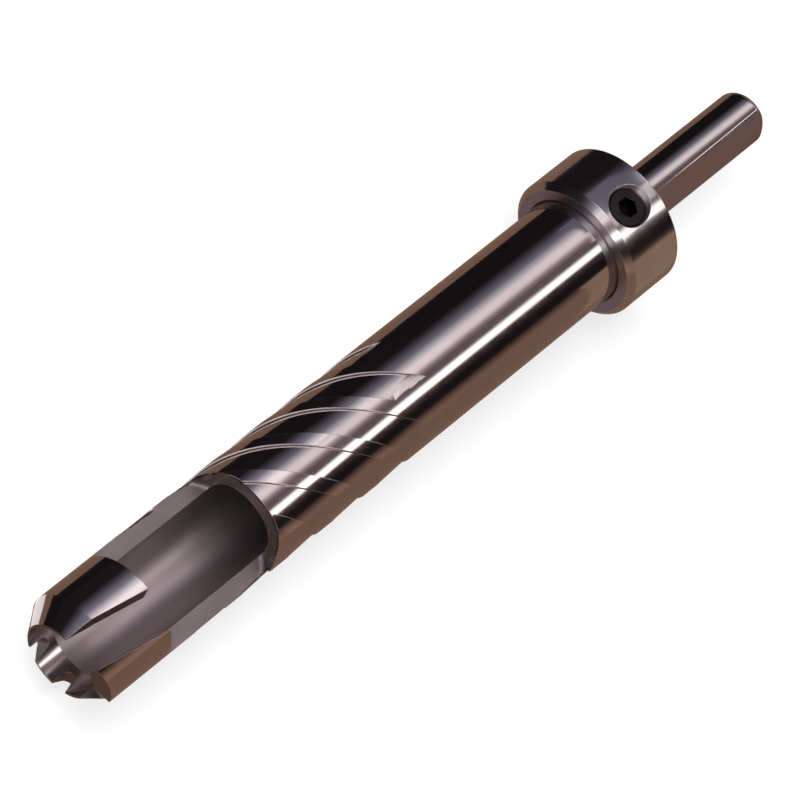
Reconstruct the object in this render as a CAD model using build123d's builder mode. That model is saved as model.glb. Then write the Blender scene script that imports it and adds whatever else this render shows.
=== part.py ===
import os
from math import asin, cos, degrees, radians, sin, tan

from build123d import *

# Plug cutter for a drill: a hollow toothed tube with an ejection window, six shallow
# helical flutes, a solid shank, and a stop collar held by a socket set screw.
# The tool lies along X: the teeth point to -X and the shank to +X. The origin is on the
# axis, at the shoulder where the shank leaves the tube.
# The window opens to +Z. Lengths are in millimetres, angles in degrees.
# Angles round the tool are counted from +Z and grow as a right-hand turn about +X.

# Lengths along the tool, measured back from the tips of the teeth
tube_length = 131.6
tooth_bore_length = 4.7
bore_depth = 57.0
window_front_from_tip = 14.6
window_rear_from_tip = 39.5

# Tube, bore and shank
body_diameter = 19.05
plug_diameter = 12.7
bore_relief = 0.2
tip_land = 0.4
tip_bevel_length = 4.0
block_relief_angle = 15.0
drill_point_angle = 118.0
shoulder_chamfer = 0.4
shank_diameter = 9.525
shank_length = 33.5
shank_nose_length = 1.9
shank_nose_reduction = 1.3
shank_flat_depth = 1.05
shank_flat_angle = 50.0

# Ejection window and the slanted slot that opens it to the tip
window_floor_height = 0.5
window_corner_radius = 7.0
window_base_radius = 1.3
window_side_margin = 1.5
slot_width = 7.4
slot_wall_lean = 12.0
slot_offset_at_tip = 1.1
slot_slant = 9.4

# Gullets between the cutting teeth on the wall opposite the window
gullet_angles = (95.0, 155.0, 215.0)
gullet_depth = 3.3
gullet_root_radius = 1.05
gullet_back_slant = 17.0

# Helical flutes: each has a steep wall on one side and fades to a low edge on the other
flute_count = 6
flute_lead = 63.5
flute_wall_depth = 0.5
flute_edge_depth = 0.08
flute_span = 41.0
flute_wall_from_tip = 75.8
flute_front_from_tip = 16.4
flute_rear_from_tip = 80.4
runout_length = 14.8
runout_turn = 36.4
runout_wheel_radius = 23.3

# Stop collar and its set screw
collar_wall = 3.175
collar_length = 11.8
collar_clearance = 0.05
collar_front_chamfer = 1.1
collar_rear_round = 0.25
collar_bore_chamfer = 0.3
screw_diameter = 6.35
screw_clearance = 0.05
screw_recess = 0.9
screw_countersink_diameter = 8.2
screw_point_chamfer = 0.5
socket_width = 3.175
socket_depth = 1.4

# How far a cut reaches past the surface that it opens
cut_margin = 1.0

body_radius = body_diameter / 2
plug_radius = plug_diameter / 2
bore_radius = plug_radius + bore_relief
shank_radius = shank_diameter / 2
cut_radius = body_radius + cut_margin
tip_x = -tube_length


def from_tip(distance):
    """X of a point that lies this far behind the tips of the teeth."""
    return tip_x + distance


def outward(angle):
    """Unit vector that points away from the axis at this angle round the tool."""
    return Vector(0, -sin(radians(angle)), cos(radians(angle)))


def section_point(radius, angle):
    """Point of a cross-section sketch on the YZ plane, by radius and angle."""
    return (-radius * sin(radians(angle)), radius * cos(radians(angle)))


def surface_plane(x, angle, radius=0.0):
    """Plane that faces away from the axis, with its own X along the tool."""
    normal = outward(angle)
    return Plane(origin=Vector(x, 0, 0) + normal * radius, x_dir=(1, 0, 0), z_dir=normal)


# Flute cutter: a ratchet-shaped section turned along the lead
flute_length = flute_rear_from_tip - flute_front_from_tip
front_wall_angle = 360 * (flute_front_from_tip - flute_wall_from_tip) / flute_lead
rear_wall_angle = 360 * (flute_rear_from_tip - flute_wall_from_tip) / flute_lead
front_edge_angle = front_wall_angle + flute_span
front_mid_angle = front_wall_angle + flute_span / 2
flute_floor_radius = body_radius - flute_wall_depth
flute_edge_radius = body_radius - flute_edge_depth

with BuildSketch(Plane.YZ.offset(from_tip(flute_front_from_tip))) as flute_section:
    with BuildLine():
        wall_foot = section_point(flute_floor_radius, front_wall_angle)
        wall_top = section_point(cut_radius, front_wall_angle)
        edge_foot = section_point(flute_edge_radius, front_edge_angle)
        edge_top = section_point(cut_radius, front_edge_angle)
        Line(wall_foot, wall_top)
        ThreePointArc(wall_top, section_point(cut_radius, front_mid_angle), edge_top)
        Line(edge_top, edge_foot)
        ThreePointArc(edge_foot, section_point(flute_floor_radius, front_mid_angle), wall_foot)
    make_face()

twisted_flute = Solid.extrude_linear_with_rotation(
    flute_section.sketch.faces()[0],
    center=(from_tip(flute_front_from_tip), 0, 0),
    normal=(flute_length, 0, 0),
    angle=rear_wall_angle - front_wall_angle,
)

# The grinding wheel runs at full depth along the middle of a flute. At each end it stops
# on one side of a station and only its round rim reaches past it, so the flute runs out.
middle_length = flute_length - 2 * runout_length
middle_from_tip = (flute_front_from_tip + flute_rear_from_tip) / 2
front_runout_x = from_tip(flute_front_from_tip + runout_length / 2)
rear_runout_x = from_tip(flute_rear_from_tip - runout_length / 2)
front_station = surface_plane(front_runout_x, front_edge_angle + runout_turn)
rear_station = surface_plane(rear_runout_x, rear_wall_angle - runout_turn)
wheel_axis_radius = flute_floor_radius + runout_wheel_radius
reach_width = 2 * body_diameter


def wheel_reach(station, side):
    """Space that the wheel reaches over the last stretch of a flute."""
    full_depth = Box(runout_length, reach_width, reach_width)
    rim = Rot(0, 90, 0) * Cylinder(runout_wheel_radius, runout_length)
    beside = Pos(0, side * reach_width / 2, 0) * full_depth
    return station * (beside + Pos(0, 0, wheel_axis_radius) * rim)


middle_reach = Pos(from_tip(middle_from_tip), 0, 0) * Box(middle_length, reach_width, reach_width)

with BuildPart() as flute_cutter:
    add(middle_reach)
    add(wheel_reach(front_station, -1))
    add(wheel_reach(rear_station, 1))
    add(twisted_flute, mode=Mode.INTERSECT)

# Bevel that sharpens the teeth. It ends at the slot, and the block beside the slot has none:
# that block cuts at its slot edge, and its end leans back from there
tip_radius = plug_radius + tip_land
bevel_slope = (body_radius - tip_radius) / tip_bevel_length
wall_middle_radius = (plug_radius + body_radius) / 2
slot_half_span = slot_width / 2 / cos(radians(slot_slant))
slot_middle_angle = degrees(asin(slot_offset_at_tip / wall_middle_radius))
block_edge_angle = degrees(asin((slot_offset_at_tip + slot_half_span) / body_radius))
block_relief_drop = cut_radius * tan(radians(block_relief_angle))

# Window cutter: its rear corners are round, and its rear wall meets the floor in a curve
window_length = window_rear_from_tip - window_front_from_tip
window_width = body_diameter + 2 * window_side_margin

with BuildPart() as window_cutter:
    with BuildSketch(Plane.XY.offset(window_floor_height)) as window:
        with Locations((from_tip(window_front_from_tip), 0)):
            Rectangle(window_length, window_width, align=(Align.MIN, Align.CENTER))
        fillet(window.vertices().group_by(Axis.X)[-1], radius=window_corner_radius)
    extrude(amount=cut_radius)
    rear_base_edge = window_cutter.edges().group_by(Axis.Z)[0].sort_by(Axis.X)[-1]
    fillet(rear_base_edge, radius=window_base_radius)

# Cutter body: tube and shank turned from one bar
bore_point_length = bore_radius / tan(radians(drill_point_angle / 2))
nose_start = (shank_length - shank_nose_length, shank_radius)
nose_end = (shank_length, shank_radius - shank_nose_reduction)

with BuildPart() as cutter_body:
    with BuildSketch(Plane.XZ):
        with BuildLine():
            Polyline(
                (shank_length, 0),
                (tip_x, 0),
                (tip_x, body_radius),
                (-shoulder_chamfer, body_radius),
                (0, body_radius - shoulder_chamfer),
                (0, shank_radius),
                nose_start,
            )
            TangentArc(nose_start, nose_end, tangent=(1, 0))
            Line(nose_end, (shank_length, 0))
        make_face()
    revolve(axis=Axis.X)

    for flute in range(flute_count):
        add(flute_cutter.part, rotation=(360 / flute_count * flute, 0, 0), mode=Mode.SUBTRACT)

    # Bore that frees the plug, a little wider behind the teeth
    with BuildSketch(Plane.XZ):
        with BuildLine():
            Polyline(
                (from_tip(-cut_margin), 0),
                (from_tip(-cut_margin), plug_radius),
                (from_tip(tooth_bore_length), plug_radius),
                (from_tip(tooth_bore_length), bore_radius),
                (from_tip(bore_depth), bore_radius),
                (from_tip(bore_depth + bore_point_length), 0),
                (from_tip(-cut_margin), 0),
            )
        make_face()
    revolve(axis=Axis.X, mode=Mode.SUBTRACT)

    # Bevel from the first gullet round to the slot
    bevel_start = outward(gullet_angles[0])
    bevel_plane = Plane(origin=(0, 0, 0), x_dir=(1, 0, 0), z_dir=Vector(1, 0, 0).cross(bevel_start))
    with BuildSketch(bevel_plane):
        with BuildLine():
            Polyline(
                (from_tip(-cut_margin), tip_radius - cut_margin * bevel_slope),
                (from_tip((cut_radius - tip_radius) / bevel_slope), cut_radius),
                (from_tip(-cut_margin), cut_radius),
                close=True,
            )
        make_face()
    bevel_turn = 360 + slot_middle_angle - gullet_angles[0]
    revolve(axis=Axis.X, revolution_arc=bevel_turn, mode=Mode.SUBTRACT)

    # End relief of the block beside the slot
    with BuildSketch(surface_plane(tip_x, block_edge_angle, plug_radius / 2)):
        with BuildLine():
            Polyline(
                (0, 0),
                (block_relief_drop, -cut_radius),
                (-cut_margin, -cut_radius),
                (-cut_margin, 0),
                close=True,
            )
        make_face()
    extrude(amount=cut_radius, mode=Mode.SUBTRACT)

    # Ejection window, milled flat across the tube
    add(window_cutter.part, mode=Mode.SUBTRACT)

    # Slanted slot from the window to the tip, its walls leaning in towards the bore
    slot_top_width = slot_width + 2 * cut_margin * tan(radians(slot_wall_lean))
    with BuildSketch(Plane.XY.offset(cut_radius)):
        with Locations(Location((tip_x, -slot_offset_at_tip, 0), (0, 0, -slot_slant))):
            Rectangle(2 * window_front_from_tip + slot_width, slot_top_width)
    extrude(amount=window_floor_height - cut_radius, taper=slot_wall_lean, mode=Mode.SUBTRACT)

    # Gullets, each with one side along the axis and one that leans back to the tooth tip
    lean_length = gullet_depth - gullet_root_radius + cut_margin
    lean_width = gullet_root_radius + lean_length * tan(radians(gullet_back_slant))
    for angle in gullet_angles:
        with BuildSketch(surface_plane(tip_x, angle)):
            with BuildLine():
                straight_foot = (gullet_depth - gullet_root_radius, -gullet_root_radius)
                lean_foot = (gullet_depth - gullet_root_radius, gullet_root_radius)
                ThreePointArc(straight_foot, (gullet_depth, 0), lean_foot)
                Polyline(
                    lean_foot,
                    (-cut_margin, lean_width),
                    (-cut_margin, -gullet_root_radius),
                    straight_foot,
                )
            make_face()
        extrude(amount=cut_radius, mode=Mode.SUBTRACT)

    # Flat along the shank, for a chuck jaw
    flat_floor_radius = shank_radius - shank_flat_depth
    with BuildSketch(surface_plane(0, shank_flat_angle, flat_floor_radius)):
        Rectangle(shank_length + cut_margin, shank_diameter, align=(Align.MIN, Align.CENTER))
    extrude(amount=shank_flat_depth + cut_margin, mode=Mode.SUBTRACT)

# Stop collar, at rest level with the shoulder at the rear end of the tube
collar_radius = body_radius + collar_wall
collar_bore_radius = body_radius + collar_clearance
collar_middle_x = -collar_length / 2
screw_hole_radius = screw_diameter / 2

with BuildPart() as stop_collar:
    with BuildSketch(Plane.YZ.offset(-collar_length)):
        Circle(collar_radius)
        Circle(collar_bore_radius, mode=Mode.SUBTRACT)
    extrude(amount=collar_length)
    rims = stop_collar.edges().filter_by(GeomType.CIRCLE).group_by(SortBy.RADIUS)
    front_rim, rear_rim = rims[-1].sort_by(Axis.X)
    chamfer(front_rim, length=collar_front_chamfer)
    fillet(rear_rim, radius=collar_rear_round)
    chamfer(rims[0], length=collar_bore_chamfer)
    with Locations(Pos(collar_middle_x, 0, collar_radius)):
        CounterSinkHole(
            radius=screw_hole_radius,
            counter_sink_radius=screw_countersink_diameter / 2,
            depth=collar_radius,
        )

# Set screw: a headless screw with a hexagon socket, its thread left plain
screw_foot_z = body_radius + collar_clearance
screw_length = collar_radius - screw_recess - screw_foot_z
screw_plane = Plane.XY.offset(screw_foot_z)

with BuildPart() as set_screw:
    with BuildSketch(screw_plane):
        with Locations((collar_middle_x, 0)):
            Circle(screw_hole_radius - screw_clearance)
    extrude(amount=screw_length)
    chamfer(set_screw.edges().group_by(Axis.Z)[0], length=screw_point_chamfer)
    with BuildSketch(screw_plane.offset(screw_length)):
        with Locations((collar_middle_x, 0)):
            RegularPolygon(radius=socket_width / 2, side_count=6, major_radius=False)
    extrude(amount=-socket_depth, mode=Mode.SUBTRACT)

cutter_body.part.label = "cutter_body"
stop_collar.part.label = "stop_collar"
set_screw.part.label = "set_screw"

os.makedirs("parts", exist_ok=True)
export_step(cutter_body.part, "parts/cutter_body.step")
export_step(stop_collar.part, "parts/stop_collar.step")
export_step(set_screw.part, "parts/set_screw.step")
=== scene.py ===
"""Look of a tube plug cutter with its stop collar and set screw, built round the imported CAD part."""

import math

import bmesh
import bpy
from mathutils import Matrix, Vector


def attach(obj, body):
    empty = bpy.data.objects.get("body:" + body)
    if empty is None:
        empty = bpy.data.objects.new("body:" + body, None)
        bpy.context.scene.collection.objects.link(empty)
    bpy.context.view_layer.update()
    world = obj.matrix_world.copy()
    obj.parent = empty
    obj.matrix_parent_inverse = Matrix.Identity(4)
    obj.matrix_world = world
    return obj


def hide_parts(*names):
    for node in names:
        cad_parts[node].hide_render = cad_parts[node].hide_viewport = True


MM = 0.001

# The tool lies along X with its teeth toward -X; its axis passes through the origin.
PHOTO_EYE = (-0.46467, 0.0, 0.6646)
PHOTO_RIGHT = (0.6647, -0.6243, 0.4105)
PHOTO_UP = (0.5323, 0.7812, 0.3262)
PHOTO_BACK = (-0.5243, 0.0017, 0.8515)
PHOTO_LENS = 220.8
SENSOR_WIDTH = 36.0

BODY_RADIUS = 9.525 * MM
SHANK_RADIUS = 4.7625 * MM
COLLAR_RADIUS = 12.7 * MM
COLLAR_CHAMFER_X = -10.5 * MM
SCREW_AXIS_X = -5.9 * MM
SCREW_HOLE_RADIUS = 3.225 * MM
TIP_X = -131.6 * MM
BEVEL_LENGTH = 4.3 * MM
TOOTH_BORE_LENGTH = 4.7 * MM
BORE_RADII = (6.35 * MM, 6.55 * MM)
SHOULDER_X = -0.35 * MM
SHANK_ROUND_END = 31.65 * MM
WINDOW_FLOOR_Z = 0.5 * MM

# The six flutes, as they are cut in the part: angles are in radians
FLUTE_LEAD = 63.5 * MM
FLUTE_STEP = math.pi / 3
FLUTE_SPAN = math.radians(41.0)
FLUTE_WALL_X = TIP_X + 75.8 * MM
FLUTE_REACH = (TIP_X + 14.0 * MM, TIP_X + 82.0 * MM)
FLUTE_DEPTH = 0.5 * MM
FLUTE_EDGE_DEPTH = 0.08 * MM
FLUTE_BOW = (FLUTE_DEPTH - FLUTE_EDGE_DEPTH) / (FLUTE_SPAN * FLUTE_SPAN / 2)
EVEN_WALL_DEPTH = 0.40 * MM
EVEN_EDGE_DEPTH = 0.04 * MM
EVEN_FLOOR_TILT = math.atan((EVEN_WALL_DEPTH - EVEN_EDGE_DEPTH) / (BODY_RADIUS * FLUTE_SPAN))
# Depth of the painted highlight along the top of each flute wall; the wall below it gets painted shade
BRIGHT_WALL_DEPTH = 0.22 * MM
WALL_SLACK = math.radians(3.0)
LOW_EDGE_SLACK = math.radians(6.0)
FLOOR_EDGE_LENGTH = 0.8 * MM

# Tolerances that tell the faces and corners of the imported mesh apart
WELD_DISTANCE = 0.001 * MM
SKIN_SLACK = 0.035 * MM
FLOOR_SLACK = 0.05 * MM
PACKED_FLOOR_SLACK = 0.04 * MM
ROUND_SLACK = 0.02 * MM
SUNK_DEPTH = 0.03 * MM
BELOW_FLOOR = 0.1 * MM
FACING_AWAY = 0.9
SHARP_ANGLE = math.radians(20.0)

FLOOR_Z = -COLLAR_RADIUS
FLOOR_HALF = 4.0
TENT_RADIUS = 0.6
TENT_REACH = (-1.1, 1.6)
TENT_SIDES = 96

# The tent grows brighter from the first X to the second, which the tip end mirrors
TENT_DIM_X = 0.335
TENT_BRIGHT_X = 0.245
TENT_BRIGHTER = 1.45

# The floor and the world as light, and as they are seen by the camera or in a reflection
FLOOR_LIGHT_TONE = (0.82, 0.82, 0.82)
FLOOR_SEEN_TONE = (0.42, 0.42, 0.42)
FLOOR_SEEN_GLOW = 0.62
WORLD_LIGHT = 0.85
LAMP_SIZE = 1.2
LAMP_POWER = 16.0
LAMP_PLACE = (-0.3, 0.5, 1.6)

STEEL = (0.60, 0.575, 0.57)
MILLED_STEEL = (0.25, 0.225, 0.225)
BORE_STEEL = (0.45, 0.405, 0.41)
# Painted highlight on the tops of the flute walls, and painted shade at their feet
PAINTED_WALL_HIGHLIGHT = (0.92, 0.86, 0.86)
PAINTED_WALL_SHADE = (0.09, 0.075, 0.07)
FLAT_STEEL = (0.52, 0.46, 0.50)
COLLAR_STEEL = (0.66, 0.645, 0.65)
SCREW_STEEL = (0.030, 0.026, 0.026)
# Painted shade inside the set screw's socket
PAINTED_SOCKET_SHADE = (0.006, 0.006, 0.007)
SCREW_STAIN = (0.045, 0.038, 0.036)
SCREW_WORN = (0.15, 0.13, 0.125)
SCREW_FACE_Z = 11.8 * MM
STAINED_STEEL = (0.46, 0.42, 0.40)
WORN_STEEL = (0.72, 0.70, 0.69)
TURNED_COLLAR = (0.43, 0.41, 0.44)
STAINED_COLLAR = (0.44, 0.41, 0.40)
WORN_COLLAR = (0.74, 0.72, 0.71)
# Painted shade inside the collar's screw hole
PAINTED_HOLE_SHADE = (0.16, 0.15, 0.15)
STAIN_SHARE = 0.25

# Roughness of each finish, and the depth of its tool marks in millimetres
MILLED_ROUGHNESS = 0.42
POLISHED_ROUGHNESS = 0.10
BORE_ROUGHNESS = 0.45
TOOTH_BORE_ROUGHNESS = 0.16
RUNOUT_ROUGHNESS = 0.26
TURNED_ROUGHNESS = 0.34
COLLAR_ROUGHNESS = 0.15
MARK_ROUGHNESS = 0.10
MILLED_MARKS = 0.010
POLISHED_MARKS = 0.0016
FLAT_MARKS = 0.022
TURNED_MARKS = 0.006

# What polished steel sees round the tool's axis, in degrees from straight up toward -Y:
# warm surroundings low down, dark flags above them, a soft box and one narrow strip light.
WARM = (0.235, 0.138, 0.100)
WARM_DIM = (0.085, 0.052, 0.045)
FLAG = (0.012, 0.009, 0.010)
HAZE = (0.055, 0.050, 0.064)
SOFT_FADE = (0.20, 0.185, 0.235)
SOFT_EDGE = (0.62, 0.58, 0.64)
SOFT_BOX = (1.06, 0.94, 0.96)
GAP_EDGE = (0.37, 0.27, 0.27)
GAP = (0.16, 0.118, 0.135)
STRIP = (2.1, 2.0, 1.95)
TENT_BANDS = (
    (-180, WARM), (-124, WARM), (-112, FLAG), (-62, FLAG), (-52, HAZE), (-37, SOFT_FADE),
    (-27, SOFT_EDGE), (-19, SOFT_BOX), (-9, SOFT_BOX), (0, GAP_EDGE), (7, GAP), (19, GAP),
    (24.5, STRIP), (33, STRIP), (36, WARM_DIM), (50, FLAG), (64, FLAG), (82, WARM), (180, WARM),
)

# Cards that only reflections see, each by its colour and four corners in millimetres
TIP_WHITE = (1.1, 1.05, 1.04)
COLLAR_SHADE = (0.24, 0.185, 0.20)
COLLAR_DIM = (0.16, 0.15, 0.19)
COLLAR_SOFT = (0.75, 0.72, 0.72)
COLLAR_WARM = (0.31, 0.198, 0.145)
CARD_Z = -12.65
LOW_Z = -12.6
CARDS = {
    "warm_card": (
        WARM, ((-1000, -1000, CARD_Z), (1000, -1000, CARD_Z), (1000, 43, CARD_Z), (-1000, 43, CARD_Z))
    ),
    "dark_card": (
        FLAG, ((-1000, 43, CARD_Z), (1000, 43, CARD_Z), (1000, 1000, CARD_Z), (-1000, 1000, CARD_Z))
    ),
    "tip_card": (
        TIP_WHITE, ((-138, 11, LOW_Z), (-121, 11, LOW_Z), (-121, 25, LOW_Z), (-138, 25, LOW_Z))
    ),
    "collar_card": (
        COLLAR_SHADE, ((-31, -12.5, LOW_Z), (-12, -12.5, LOW_Z), (-12, 12.5, LOW_Z), (-31, 12.5, LOW_Z))
    ),
    "seat_card": (SOFT_BOX, ((-53, 5, 33), (-53, 9, 33), (-53, 16, 52), (-53, 8, 52))),
    "collar_flag": (COLLAR_DIM, ((-1, 4.5, 28), (11, 4.5, 28), (11, 24, 24), (-1, 24, 24))),
    "collar_fill": (COLLAR_SOFT, ((-1, -4.5, 28), (11, -4.5, 28), (11, 4.5, 28), (-1, 4.5, 28))),
    "collar_glow": (COLLAR_WARM, ((-5, -27, LOW_Z), (14, -27, LOW_Z), (14, -27, 16), (-5, -27, 16))),
}


def add(tree, kind, **values):
    """A node of this kind with these properties set."""
    node = tree.nodes.new(kind)
    for name, value in values.items():
        setattr(node, name, value)
    return node


def feed(tree, node, **sockets):
    """Sets or links input sockets by name or by index, written as i0, i1 and so on."""
    for name, value in sockets.items():
        key = int(name[1:]) if name[0] == "i" and name[1:].isdigit() else name.replace("_", " ")
        socket = node.inputs[key]
        if isinstance(value, bpy.types.NodeSocket):
            tree.links.new(value, socket)
        else:
            socket.default_value = value
    return node


def calc(tree, operation, first, second=0.0, third=0.0):
    """The result socket of a Math node."""
    node = add(tree, "ShaderNodeMath", operation=operation)
    return feed(tree, node, i0=first, i1=second, i2=third).outputs[0]


def ramp_between(tree, value, low, high):
    """0 below low and 1 above high, with a smooth step between them."""
    node = add(tree, "ShaderNodeMapRange", interpolation_type="SMOOTHSTEP")
    return feed(tree, node, i0=value, i1=low, i2=high, i3=0.0, i4=1.0).outputs[0]


def blend_values(tree, mask, low, high):
    """low where the mask is 0 and high where it is 1, for plain values."""
    node = add(tree, "ShaderNodeMix", data_type="FLOAT")
    return feed(tree, node, i0=mask, i2=low, i3=high).outputs[0]


def blend_colours(tree, mask, low, high):
    """low where the mask is 0 and high where it is 1, for colours."""
    node = add(tree, "ShaderNodeMix", data_type="RGBA")
    return feed(tree, node, i0=mask, i6=low, i7=high).outputs[2]


def split(tree, vector):
    """The three parts of a vector."""
    return feed(tree, add(tree, "ShaderNodeSeparateXYZ"), i0=vector).outputs


def join(tree, x=0.0, y=0.0, z=0.0):
    """A vector of three values."""
    return feed(tree, add(tree, "ShaderNodeCombineXYZ"), i0=x, i1=y, i2=z).outputs[0]


def noise(tree, vector, scale, detail=2.0, roughness=0.5):
    """The value of a noise texture."""
    node = add(tree, "ShaderNodeTexNoise")
    return feed(tree, node, Vector=vector, Scale=scale, Detail=detail, Roughness=roughness).outputs[0]


def colour4(colour):
    return (*colour, 1.0)


def new_group(name, inputs, outputs):
    """An empty shader node group with these sockets, and its input and output nodes."""
    group = bpy.data.node_groups.new(name, "ShaderNodeTree")
    for label, kind, value in inputs:
        socket = group.interface.new_socket(label, in_out="INPUT", socket_type="NodeSocket" + kind)
        if value is not None:
            socket.default_value = value
    for label, kind in outputs:
        group.interface.new_socket(label, in_out="OUTPUT", socket_type="NodeSocket" + kind)
    return group, group.nodes.new("NodeGroupInput"), group.nodes.new("NodeGroupOutput")


def place_group(tree, group, **sockets):
    """A group node in this material with its own values."""
    return feed(tree, add(tree, "ShaderNodeGroup", node_tree=group), **sockets).outputs


def make_ring_marks():
    """Fine rings that turning and grinding leave round the tool's axis."""
    group, given, out = new_group(
        "ring marks",
        (("Position", "Vector", None), ("Lines", "Float", 2600.0), ("Drift", "Float", 60.0)),
        (("Height", "Float"), ("Tone", "Float")),
    )
    x, y, z = split(group, given.outputs["Position"])
    along = calc(group, "MULTIPLY", x, given.outputs["Lines"])
    side = calc(group, "MULTIPLY", y, given.outputs["Drift"])
    rise = calc(group, "MULTIPLY", z, given.outputs["Drift"])
    fine = noise(group, join(group, along, side, rise), 1.0, 3.0, 0.6)
    broad = noise(group, join(group, calc(group, "MULTIPLY", along, 0.12), side, rise), 1.0, 2.0)
    height = calc(group, "ADD", calc(group, "MULTIPLY", fine, 0.7), calc(group, "MULTIPLY", broad, 0.3))
    group.links.new(height, out.inputs["Height"])
    group.links.new(broad, out.inputs["Tone"])
    return group


def make_handling():
    """Faint stains and hair scratches of a tool that has been handled."""
    group, given, out = new_group(
        "handling marks",
        (("Position", "Vector", None), ("Amount", "Float", 1.0)),
        (("Stain", "Float"), ("Scratch", "Float")),
    )
    position = given.outputs["Position"]
    stain = noise(group, position, 190.0, 4.0, 0.55)
    stain = ramp_between(group, stain, 0.42, 0.68)
    turned = add(group, "ShaderNodeMapping")
    feed(group, turned, Vector=position, Rotation=(0.3, 0.2, 0.9), Scale=(300.0, 9000.0, 9000.0))
    hair = noise(group, turned.outputs[0], 1.0, 1.0, 0.4)
    scratch = ramp_between(group, hair, 0.74, 0.80)
    amount = given.outputs["Amount"]
    group.links.new(calc(group, "MULTIPLY", stain, amount), out.inputs["Stain"])
    group.links.new(calc(group, "MULTIPLY", scratch, amount), out.inputs["Scratch"])
    return group


def make_soft_edges():
    """Slightly rounded edges, with a mask of where they are worn bright."""
    group, given, out = new_group(
        "soft edges",
        (("Radius", "Float", 0.12 * MM),),
        (("Normal", "Vector"), ("Edge", "Float")),
    )
    rounded = add(group, "ShaderNodeBevel", samples=4)
    group.links.new(given.outputs["Radius"], rounded.inputs["Radius"])
    flat = add(group, "ShaderNodeNewGeometry").outputs["Normal"]
    match = add(group, "ShaderNodeVectorMath", operation="DOT_PRODUCT")
    feed(group, match, i0=rounded.outputs[0], i1=flat)
    edge = calc(group, "SUBTRACT", 1.0, ramp_between(group, match.outputs["Value"], 0.90, 0.995))
    group.links.new(rounded.outputs[0], out.inputs["Normal"])
    group.links.new(edge, out.inputs["Edge"])
    return group


def new_material(name):
    """An empty material, its tree and its Principled BSDF."""
    material = bpy.data.materials.new(name)
    material.use_nodes = True
    tree = material.node_tree
    tree.nodes.clear()
    shader = add(tree, "ShaderNodeBsdfPrincipled")
    out = add(tree, "ShaderNodeOutputMaterial")
    tree.links.new(shader.outputs[0], out.inputs["Surface"])
    return material, tree, shader


def axis_distance(tree, y, z):
    """Distance from the tool's axis."""
    return calc(tree, "SQRT", calc(tree, "ADD", calc(tree, "MULTIPLY", y, y), calc(tree, "MULTIPLY", z, z)))


def outward_facing(tree, y, z, radius):
    """1 where the surface faces straight away from the tool's axis."""
    outward = join(tree, 0.0, calc(tree, "DIVIDE", y, radius), calc(tree, "DIVIDE", z, radius))
    node = add(tree, "ShaderNodeVectorMath", operation="DOT_PRODUCT")
    normal = add(tree, "ShaderNodeNewGeometry").outputs["Normal"]
    return feed(tree, node, i0=outward, i1=normal).outputs["Value"]


def past_flute_wall(tree, x, y, z):
    """Angle round the tool past the steep wall of the nearest flute."""
    turn = calc(tree, "ARCTAN2", calc(tree, "MULTIPLY", y, -1.0), z)
    wall = calc(tree, "MULTIPLY", calc(tree, "SUBTRACT", x, FLUTE_WALL_X), 2 * math.pi / FLUTE_LEAD)
    steps = calc(tree, "DIVIDE", calc(tree, "SUBTRACT", turn, wall), FLUTE_STEP)
    return calc(tree, "MULTIPLY", calc(tree, "FRACT", steps), FLUTE_STEP)


def above_flute_floor(tree, past_wall, radius):
    """Height above the floor that a flute has at this angle past its wall."""
    slope = (EVEN_WALL_DEPTH - EVEN_EDGE_DEPTH) / FLUTE_SPAN
    floor = calc(tree, "MULTIPLY_ADD", past_wall, slope, BODY_RADIUS - EVEN_WALL_DEPTH)
    return calc(tree, "SUBTRACT", radius, floor)


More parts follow.
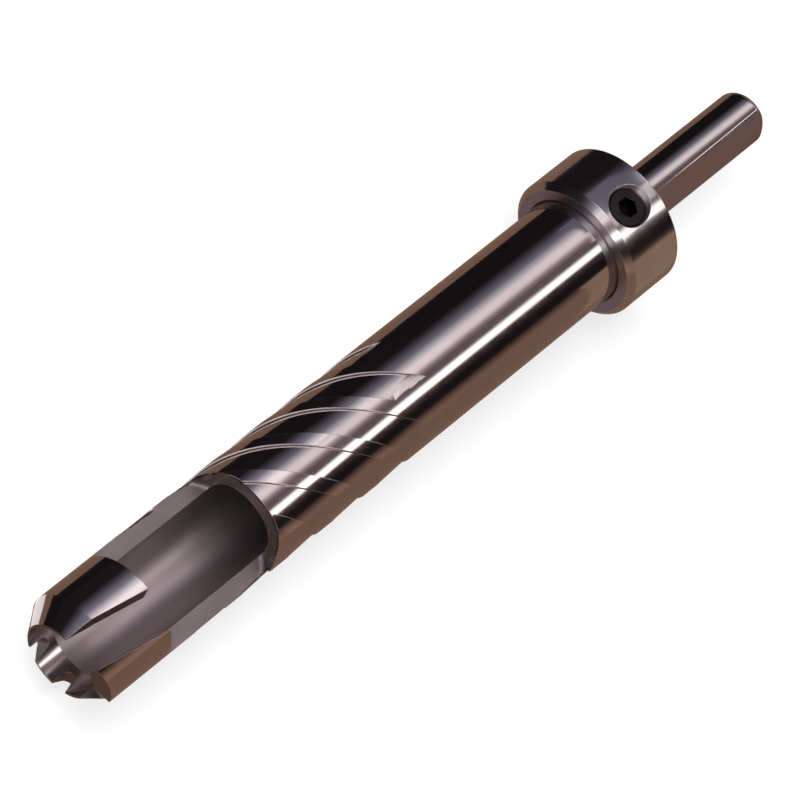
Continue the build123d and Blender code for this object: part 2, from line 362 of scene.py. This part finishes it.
def cutter_steel(rings, handling, edges):
    """Polished tool steel outside and satin steel where it was milled, with a painted highlight along the
    tops of the flute walls and painted shade at their feet.
    """
    material, tree, shader = new_material("ground tool steel")
    position = add(tree, "ShaderNodeTexCoord").outputs["Object"]
    x, y, z = split(tree, position)
    radius = axis_distance(tree, y, z)
    facing = outward_facing(tree, y, z, radius)
    on_shank = ramp_between(tree, x, 0.2 * MM, 0.5 * MM)
    skin = blend_values(tree, on_shank, BODY_RADIUS - 0.65 * MM, SHANK_RADIUS - 0.09 * MM)
    near_skin = calc(tree, "GREATER_THAN", radius, skin)
    polished = calc(tree, "MULTIPLY", near_skin, ramp_between(tree, facing, 0.86, 0.93))
    on_bevel = calc(tree, "MULTIPLY", calc(tree, "LESS_THAN", x, TIP_X + BEVEL_LENGTH),
                    calc(tree, "GREATER_THAN", facing, 0.7))
    polished = calc(tree, "MAXIMUM", polished, on_bevel)
    in_bore = calc(tree, "LESS_THAN", facing, -0.5)
    shank_flat = calc(tree, "MULTIPLY", on_shank, calc(tree, "GREATER_THAN", facing, 0.6))
    shank_flat = calc(tree, "MULTIPLY", shank_flat, calc(tree, "SUBTRACT", 1.0, polished))

    past_wall = past_flute_wall(tree, x, y, z)
    lift = above_flute_floor(tree, past_wall, radius)
    fluted = calc(tree, "MULTIPLY", calc(tree, "GREATER_THAN", x, FLUTE_REACH[0]),
                  calc(tree, "LESS_THAN", x, FLUTE_REACH[1]))
    fluted = calc(tree, "MULTIPLY", fluted, near_skin)
    inside = calc(tree, "MULTIPLY", fluted, calc(tree, "LESS_THAN", past_wall, FLUTE_SPAN))
    sunk = calc(tree, "LESS_THAN", radius, BODY_RADIUS - ROUND_SLACK)
    flat_on = calc(tree, "GREATER_THAN", facing, 0.9)
    off_floor = ramp_between(tree, calc(tree, "ABSOLUTE", lift), 0.03 * MM, 0.09 * MM)
    runout = calc(tree, "MULTIPLY", calc(tree, "MULTIPLY", inside, flat_on),
                  calc(tree, "MULTIPLY", sunk, off_floor))

    on_rim = calc(tree, "COMPARE", z, WINDOW_FLOOR_Z, 0.04 * MM)
    wall = calc(tree, "MULTIPLY", fluted, calc(tree, "SUBTRACT", 1.0, on_rim))
    wall = calc(tree, "MULTIPLY", wall, calc(tree, "LESS_THAN", calc(tree, "ABSOLUTE", facing), 0.6))
    low_edge = calc(tree, "COMPARE", past_wall, FLUTE_SPAN, LOW_EDGE_SLACK)
    wall = calc(tree, "MULTIPLY", wall, calc(tree, "SUBTRACT", 1.0, low_edge))
    # The top of each flute wall gets a painted highlight, the rest of the wall painted shade
    wall_top = calc(tree, "GREATER_THAN", radius, BODY_RADIUS - BRIGHT_WALL_DEPTH)
    wall_highlight = calc(tree, "MULTIPLY", wall, wall_top)
    wall_shade = calc(tree, "SUBTRACT", wall, wall_highlight)

    worn = calc(tree, "MULTIPLY", calc(tree, "SUBTRACT", 1.0, fluted), 0.5)
    tooth_bore = calc(tree, "MULTIPLY", in_bore, calc(tree, "LESS_THAN", x, TIP_X + TOOTH_BORE_LENGTH))

    ring = place_group(tree, rings, Position=position)
    marks = place_group(tree, handling, Position=position, Amount=0.6)
    soft = place_group(tree, edges, Radius=0.10 * MM)

    base = blend_colours(tree, polished, colour4(MILLED_STEEL), colour4(STEEL))
    base = blend_colours(tree, in_bore, base, colour4(BORE_STEEL))
    base = blend_colours(tree, tooth_bore, base, colour4(STEEL))
    base = blend_colours(tree, shank_flat, base, colour4(FLAT_STEEL))
    stained = calc(tree, "MULTIPLY", marks["Stain"], STAIN_SHARE)
    base = blend_colours(tree, stained, base, colour4(STAINED_STEEL))
    base = blend_colours(tree, calc(tree, "MULTIPLY", soft["Edge"], worn), base, colour4(WORN_STEEL))
    # Painted highlight on the flute walls' tops, painted shade at their feet
    base = blend_colours(tree, wall_highlight, base, colour4(PAINTED_WALL_HIGHLIGHT))
    base = blend_colours(tree, wall_shade, base, colour4(PAINTED_WALL_SHADE))
    tree.links.new(base, shader.inputs["Base Color"])

    rough = blend_values(tree, polished, MILLED_ROUGHNESS, POLISHED_ROUGHNESS)
    rough = blend_values(tree, in_bore, rough, BORE_ROUGHNESS)
    rough = blend_values(tree, tooth_bore, rough, TOOTH_BORE_ROUGHNESS)
    rough = blend_values(tree, runout, rough, RUNOUT_ROUGHNESS)
    uneven = calc(tree, "MULTIPLY", calc(tree, "SUBTRACT", ring["Tone"], 0.5), MARK_ROUGHNESS)
    rough = calc(tree, "ADD", rough, uneven)
    rough = calc(tree, "ADD", rough, calc(tree, "MULTIPLY", marks["Scratch"], MARK_ROUGHNESS))
    tree.links.new(rough, shader.inputs["Roughness"])

    bump = add(tree, "ShaderNodeBump")
    depth = blend_values(tree, polished, MILLED_MARKS, POLISHED_MARKS)
    depth = blend_values(tree, calc(tree, "MAXIMUM", shank_flat, runout), depth, FLAT_MARKS)
    height = calc(tree, "MULTIPLY", ring["Height"], calc(tree, "MULTIPLY", depth, MM))
    feed(tree, bump, Strength=1.0, Distance=1.0, Height=height, Normal=soft["Normal"])
    tree.links.new(bump.outputs[0], shader.inputs["Normal"])
    shader.inputs["Metallic"].default_value = 1.0
    return material


def collar_steel(rings, handling, edges):
    """Turned and polished collar steel, with painted shade inside the screw's hole."""
    material, tree, shader = new_material("polished collar steel")
    position = add(tree, "ShaderNodeTexCoord").outputs["Object"]
    x, y, z = split(tree, position)
    radius = axis_distance(tree, y, z)
    facing = outward_facing(tree, y, z, radius)
    polished = calc(tree, "MULTIPLY", calc(tree, "GREATER_THAN", radius, COLLAR_RADIUS - 0.15 * MM),
                    ramp_between(tree, facing, 0.90, 0.97))
    chamfer = calc(tree, "MULTIPLY", calc(tree, "GREATER_THAN", facing, 0.5),
                   calc(tree, "LESS_THAN", facing, 0.9))
    chamfer = calc(tree, "MULTIPLY", chamfer, calc(tree, "LESS_THAN", x, COLLAR_CHAMFER_X))
    polished = calc(tree, "MAXIMUM", polished, chamfer)

    # Painted shade inside the screw's hole, down to just above the bore
    from_screw = calc(tree, "SUBTRACT", x, SCREW_AXIS_X)
    hole_shade = calc(tree, "LESS_THAN", axis_distance(tree, from_screw, y), SCREW_HOLE_RADIUS + 0.15 * MM)
    above_bore = calc(tree, "GREATER_THAN", z, BODY_RADIUS - 1.0 * MM)
    hole_shade = calc(tree, "MULTIPLY", hole_shade, above_bore)

    ring = place_group(tree, rings, Position=position, Lines=2200.0)
    marks = place_group(tree, handling, Position=position, Amount=0.8)
    soft = place_group(tree, edges, Radius=0.15 * MM)

    stained = calc(tree, "MULTIPLY", marks["Stain"], STAIN_SHARE)
    base = blend_colours(tree, polished, colour4(TURNED_COLLAR), colour4(COLLAR_STEEL))
    base = blend_colours(tree, stained, base, colour4(STAINED_COLLAR))
    base = blend_colours(tree, calc(tree, "MULTIPLY", soft["Edge"], 0.5), base, colour4(WORN_COLLAR))
    base = blend_colours(tree, hole_shade, base, colour4(PAINTED_HOLE_SHADE))
    tree.links.new(base, shader.inputs["Base Color"])

    rough = blend_values(tree, polished, TURNED_ROUGHNESS, COLLAR_ROUGHNESS)
    uneven = calc(tree, "MULTIPLY", calc(tree, "SUBTRACT", ring["Tone"], 0.5), MARK_ROUGHNESS)
    rough = calc(tree, "ADD", rough, uneven)
    rough = calc(tree, "ADD", rough, calc(tree, "MULTIPLY", marks["Scratch"], MARK_ROUGHNESS))
    tree.links.new(rough, shader.inputs["Roughness"])

    bump = add(tree, "ShaderNodeBump")
    depth = blend_values(tree, polished, TURNED_MARKS, POLISHED_MARKS)
    height = calc(tree, "MULTIPLY", ring["Height"], calc(tree, "MULTIPLY", depth, MM))
    feed(tree, bump, Strength=1.0, Distance=1.0, Height=height, Normal=soft["Normal"])
    tree.links.new(bump.outputs[0], shader.inputs["Normal"])
    shader.inputs["Metallic"].default_value = 1.0
    return material


def screw_steel(handling, edges):
    """Dark oiled steel of the set screw, with painted shade in its socket, rubbed a little brighter on its
    edges.
    """
    material, tree, shader = new_material("black screw steel")
    position = add(tree, "ShaderNodeTexCoord").outputs["Object"]
    x, y, z = split(tree, position)
    # Painted shade in the socket, below the screw's face
    socket_shade = calc(tree, "LESS_THAN", z, SCREW_FACE_Z - 0.08 * MM)
    marks = place_group(tree, handling, Position=position, Amount=1.0)
    soft = place_group(tree, edges, Radius=0.10 * MM)
    base = blend_colours(tree, marks["Stain"], colour4(SCREW_STEEL), colour4(SCREW_STAIN))
    base = blend_colours(tree, calc(tree, "MULTIPLY", soft["Edge"], 0.4), base, colour4(SCREW_WORN))
    base = blend_colours(tree, socket_shade, base, colour4(PAINTED_SOCKET_SHADE))
    tree.links.new(base, shader.inputs["Base Color"])
    rough = calc(tree, "ADD", calc(tree, "MULTIPLY", marks["Stain"], 0.15), 0.34)
    tree.links.new(rough, shader.inputs["Roughness"])
    grain = noise(tree, position, 4200.0, 2.0)
    bump = add(tree, "ShaderNodeBump")
    height = calc(tree, "MULTIPLY", grain, 0.01 * MM)
    feed(tree, bump, Strength=1.0, Distance=1.0, Height=height, Normal=soft["Normal"])
    tree.links.new(bump.outputs[0], shader.inputs["Normal"])
    shader.inputs["Metallic"].default_value = 1.0
    return material


def new_object(name, vertices, faces):
    """A mesh object of these vertices and faces."""
    mesh = bpy.data.meshes.new(name)
    mesh.from_pydata(vertices, [], faces)
    mesh.update()
    thing = bpy.data.objects.new(name, mesh)
    bpy.context.scene.collection.objects.link(thing)
    return thing


def seen_in_reflections_only(thing):
    """Keeps a studio card out of sight of the camera and of the floor's light."""
    thing.visible_camera = False
    thing.visible_diffuse = False
    thing.visible_shadow = False
    thing.visible_transmission = False
    thing.visible_volume_scatter = False


def glow_material(name, colour=None):
    """An emission material of one colour; without one, its colour socket waits for a link."""
    material = bpy.data.materials.new(name)
    material.use_nodes = True
    tree = material.node_tree
    tree.nodes.clear()
    glow = add(tree, "ShaderNodeEmission")
    out = add(tree, "ShaderNodeOutputMaterial")
    tree.links.new(glow.outputs[0], out.inputs["Surface"])
    if colour:
        glow.inputs["Color"].default_value = colour4(colour)
    return material, tree, glow


def make_tent():
    """A long light tent round the tool that only its polished steel sees, with bands along X."""
    vertices, faces = [], []
    for x in TENT_REACH:
        for side in range(TENT_SIDES):
            turn = 2 * math.pi * side / TENT_SIDES
            vertices.append((x, TENT_RADIUS * math.sin(turn), TENT_RADIUS * math.cos(turn)))
    for side in range(TENT_SIDES):
        after = (side + 1) % TENT_SIDES
        faces.append((side, after, TENT_SIDES + after, TENT_SIDES + side))
    faces.append(tuple(range(TENT_SIDES)))
    faces.append(tuple(range(TENT_SIDES, 2 * TENT_SIDES)))
    tent = new_object("light_tent", vertices, faces)

    material, tree, glow = glow_material("light tent")
    x, y, z = split(tree, add(tree, "ShaderNodeTexCoord").outputs["Object"])
    turn = calc(tree, "ARCTAN2", calc(tree, "MULTIPLY", y, -1.0), z)
    place = calc(tree, "MULTIPLY_ADD", turn, 0.5 / math.pi, 0.5)
    ramp = add(tree, "ShaderNodeValToRGB")
    stops = ramp.color_ramp.elements
    for index, (angle, colour) in enumerate(TENT_BANDS):
        spot = (angle + 180) / 360
        stop = stops[index] if index < 2 else stops.new(spot)
        stop.position = spot
        stop.color = colour4(colour)
    tree.links.new(place, ramp.inputs[0])
    tree.links.new(ramp.outputs[0], glow.inputs["Color"])
    brighter = add(tree, "ShaderNodeMapRange")
    feed(tree, brighter, i0=x, i1=TENT_DIM_X, i2=TENT_BRIGHT_X, i3=1.0, i4=TENT_BRIGHTER)
    tree.links.new(brighter.outputs[0], glow.inputs["Strength"])
    tent.data.materials.append(material)
    seen_in_reflections_only(tent)


def make_floor():
    """A plain white floor that keeps a faint shadow of the tool."""
    signs = ((-1, -1), (1, -1), (1, 1), (-1, 1))
    corners = [(x * FLOOR_HALF, y * FLOOR_HALF, FLOOR_Z) for x, y in signs]
    floor = new_object("floor", corners, [(0, 1, 2, 3)])
    material, tree, shader = new_material("pale floor")
    path = add(tree, "ShaderNodeLightPath").outputs
    seen = calc(tree, "MAXIMUM", path["Is Camera Ray"], path["Is Glossy Ray"])
    seen = calc(tree, "MAXIMUM", seen, path["Is Transmission Ray"])
    tone = blend_colours(tree, seen, colour4(FLOOR_LIGHT_TONE), colour4(FLOOR_SEEN_TONE))
    tree.links.new(tone, shader.inputs["Base Color"])
    tree.links.new(calc(tree, "MULTIPLY", seen, FLOOR_SEEN_GLOW), shader.inputs["Emission Strength"])
    shader.inputs["Emission Color"].default_value = (1.0, 1.0, 1.0, 1.0)
    shader.inputs["Roughness"].default_value = 0.9
    shader.inputs["Specular IOR Level"].default_value = 0.0
    floor.data.materials.append(material)


def make_cards():
    """The cards that the polished steel mirrors."""
    for name, (colour, corners) in CARDS.items():
        card = new_object(name, [tuple(MM * part for part in corner) for corner in corners], [(0, 1, 2, 3)])
        material, tree, glow = glow_material(name.replace("_", " "), colour)
        card.data.materials.append(material)
        seen_in_reflections_only(card)


def make_world():
    """A white surround, at the strength of white where it is seen and a little less as light."""
    world = bpy.data.worlds.new("studio")
    bpy.context.scene.world = world
    world.use_nodes = True
    tree = world.node_tree
    tree.nodes.clear()
    path = add(tree, "ShaderNodeLightPath").outputs
    seen = calc(tree, "MAXIMUM", path["Is Camera Ray"], path["Is Glossy Ray"])
    seen = calc(tree, "MAXIMUM", seen, path["Is Transmission Ray"])
    back = add(tree, "ShaderNodeBackground")
    feed(tree, back, Color=(1.0, 1.0, 1.0, 1.0), Strength=blend_values(tree, seen, WORLD_LIGHT, 1.0))
    out = add(tree, "ShaderNodeOutputWorld")
    tree.links.new(back.outputs[0], out.inputs["Surface"])


def make_lamp():
    """One large soft lamp above, which gives the floor a faint shadow."""
    data = bpy.data.lights.new("soft lamp", "AREA")
    data.shape = "DISK"
    data.size = LAMP_SIZE
    data.energy = LAMP_POWER
    lamp = bpy.data.objects.new("soft_lamp", data)
    lamp.location = LAMP_PLACE
    lamp.rotation_euler = (Vector(lamp.location)).to_track_quat("Z", "Y").to_euler()
    lamp.visible_glossy = False
    bpy.context.scene.collection.objects.link(lamp)


def make_camera():
    """The photograph's own view."""
    data = bpy.data.cameras.new("camera")
    data.lens = PHOTO_LENS
    data.sensor_width = SENSOR_WIDTH
    data.clip_start = 0.01
    data.clip_end = 20.0
    camera = bpy.data.objects.new("camera", data)
    axes = Matrix((PHOTO_RIGHT, PHOTO_UP, PHOTO_BACK)).transposed()
    camera.matrix_world = Matrix.Translation(PHOTO_EYE) @ axes.to_4x4()
    bpy.context.scene.collection.objects.link(camera)
    bpy.context.scene.camera = camera


def dress(node, material):
    """Gives a CAD node its material."""
    slots = node.data.materials
    slots.clear()
    slots.append(material)


def past_wall_at(x, y, z):
    """Angle of a point past the steep wall of the nearest flute, kept within the flute."""
    wall_turn = (x - FLUTE_WALL_X) * 2 * math.pi / FLUTE_LEAD
    angle = (math.atan2(-y, z) - wall_turn + WALL_SLACK) % FLUTE_STEP - WALL_SLACK
    return min(max(angle, 0.0), FLUTE_SPAN)


def round_normal(x, y, z, lean=0.0):
    """Outward normal of a round surface, or of a helical one that leans back by this angle."""
    away = Vector((0.0, y, z)).normalized()
    across = Vector((0.0, -away.z, away.y))
    along = Vector((2 * math.pi * BODY_RADIUS * math.sin(lean) / FLUTE_LEAD, 0.0, 0.0))
    return (away * math.cos(lean) - across * math.sin(lean) + along).normalized()


def even_floor_depth(past_wall):
    """Depth of an evenly rising flute floor at this angle past its wall."""
    return EVEN_WALL_DEPTH - (EVEN_WALL_DEPTH - EVEN_EDGE_DEPTH) * past_wall / FLUTE_SPAN


def face_kind(mesh, face):
    """Which ground or bored surface of the cutter a face lies on, if any."""
    points = [mesh.vertices[index].co for index in face.vertices]
    depths = [BODY_RADIUS - math.hypot(point.y, point.z) for point in points]
    if all(point.x < SHOULDER_X for point in points) and all(abs(depth) < SKIN_SLACK for depth in depths):
        return "skin"
    if all(FLUTE_REACH[0] < point.x < FLUTE_REACH[1] for point in points):
        lifts = [depth - even_floor_depth(past_wall_at(*point)) for point, depth in zip(points, depths)]
        away = round_normal(*face.center)
        if face.normal.dot(away) > FACING_AWAY and all(abs(lift) < FLOOR_SLACK for lift in lifts):
            return "floor"
        if face.normal.dot(away) > FACING_AWAY and all(depth < FLUTE_DEPTH for depth in depths):
            return "runout"
    if all(0 < point.x < SHANK_ROUND_END for point in points):
        if all(abs(BODY_RADIUS - depth - SHANK_RADIUS) < ROUND_SLACK for depth in depths):
            return "skin"
    radii = [BODY_RADIUS - depth for depth in depths]
    if all(any(abs(radius - bore) < ROUND_SLACK for bore in BORE_RADII) for radius in radii):
        if face.normal.dot(round_normal(*face.center)) < -FACING_AWAY:
            return "bore"
    return "other"


def smooth_ground_faces(mesh):
    """Gives round and helical faces the true normals of their surfaces."""
    kinds = [face_kind(mesh, face) for face in mesh.polygons]
    runouts = {}
    for face, kind in zip(mesh.polygons, kinds):
        for index in face.vertices:
            if kind == "runout":
                runouts[index] = runouts.get(index, Vector()) + face.normal * face.area
    normals = [corner.vector.copy() for corner in mesh.corner_normals]
    for face, kind in zip(mesh.polygons, kinds):
        for corner, index in zip(face.loop_indices, face.vertices):
            point = mesh.vertices[index].co
            if kind == "skin":
                normals[corner] = round_normal(*point)
            elif kind == "floor":
                normals[corner] = round_normal(*point, EVEN_FLOOR_TILT)
            elif kind == "runout":
                normals[corner] = runouts[index].normalized()
            elif kind == "bore":
                normals[corner] = -round_normal(*point)
    mesh.normals_split_custom_set(normals)


def regrind_flutes(node):
    """A copy of the cutter body whose flute floors rise evenly from the wall's foot to the low edge."""
    mesh = bpy.data.meshes.new("fluted_cutter")
    work = bmesh.new()
    work.from_mesh(node.data)
    bmesh.ops.remove_doubles(work, verts=work.verts, dist=WELD_DISTANCE)

    def sunk(vertex):
        x, y, z = vertex.co
        depth = BODY_RADIUS - math.hypot(y, z)
        return FLUTE_REACH[0] < x < FLUTE_REACH[1] and SUNK_DEPTH < depth < FLUTE_DEPTH + BELOW_FLOOR

    for cuts in (2, 1):
        fine = {edge for face in work.faces if any(map(sunk, face.verts)) for edge in face.edges}
        fine = [edge for edge in fine if edge.calc_length() > FLOOR_EDGE_LENGTH]
        bmesh.ops.subdivide_edges(work, edges=fine, cuts=cuts, use_grid_fill=True)
        bmesh.ops.triangulate(work, faces=[face for face in work.faces if len(face.verts) > 4])

    for vertex in work.verts:
        x, y, z = vertex.co
        radius = math.hypot(y, z)
        depth = BODY_RADIUS - radius
        in_flute = FLUTE_REACH[0] < x < FLUTE_REACH[1] and 0.0 < depth < FLUTE_DEPTH + BELOW_FLOOR
        if not in_flute or abs(z - WINDOW_FLOOR_Z) < ROUND_SLACK:
            continue
        past_wall = past_wall_at(x, y, z)
        packed_depth = FLUTE_DEPTH - FLUTE_BOW * past_wall * (past_wall - FLUTE_SPAN / 2)
        on_floor = abs(depth - packed_depth) < PACKED_FLOOR_SLACK
        new_depth = even_floor_depth(past_wall) * (1.0 if on_floor else depth / packed_depth)
        scale = (BODY_RADIUS - new_depth) / radius
        vertex.co = (x, y * scale, z * scale)
    work.to_mesh(mesh)
    work.free()
    mesh.shade_smooth()
    mesh.set_sharp_from_angle(angle=SHARP_ANGLE)
    smooth_ground_faces(mesh)
    body = bpy.data.objects.new("fluted_cutter", mesh)
    bpy.context.scene.collection.objects.link(body)
    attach(body, "cutter")
    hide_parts("cutter_body")
    return body


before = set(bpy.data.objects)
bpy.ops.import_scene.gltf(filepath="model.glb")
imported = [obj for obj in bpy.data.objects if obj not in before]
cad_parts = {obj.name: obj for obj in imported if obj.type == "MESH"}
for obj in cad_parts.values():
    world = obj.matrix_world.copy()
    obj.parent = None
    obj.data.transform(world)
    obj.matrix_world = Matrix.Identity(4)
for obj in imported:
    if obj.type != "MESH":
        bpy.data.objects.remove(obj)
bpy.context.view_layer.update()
bpy.context.scene.view_settings.view_transform = "Standard"

make_camera()
make_world()
make_lamp()
make_floor()
make_cards()
make_tent()

ring_marks = make_ring_marks()
handling_marks = make_handling()
soft_edges = make_soft_edges()
fluted_cutter = regrind_flutes(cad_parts["cutter_body"])
dress(fluted_cutter, cutter_steel(ring_marks, handling_marks, soft_edges))
dress(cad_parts["stop_collar"], collar_steel(ring_marks, handling_marks, soft_edges))
dress(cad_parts["set_screw"], screw_steel(handling_marks, soft_edges))
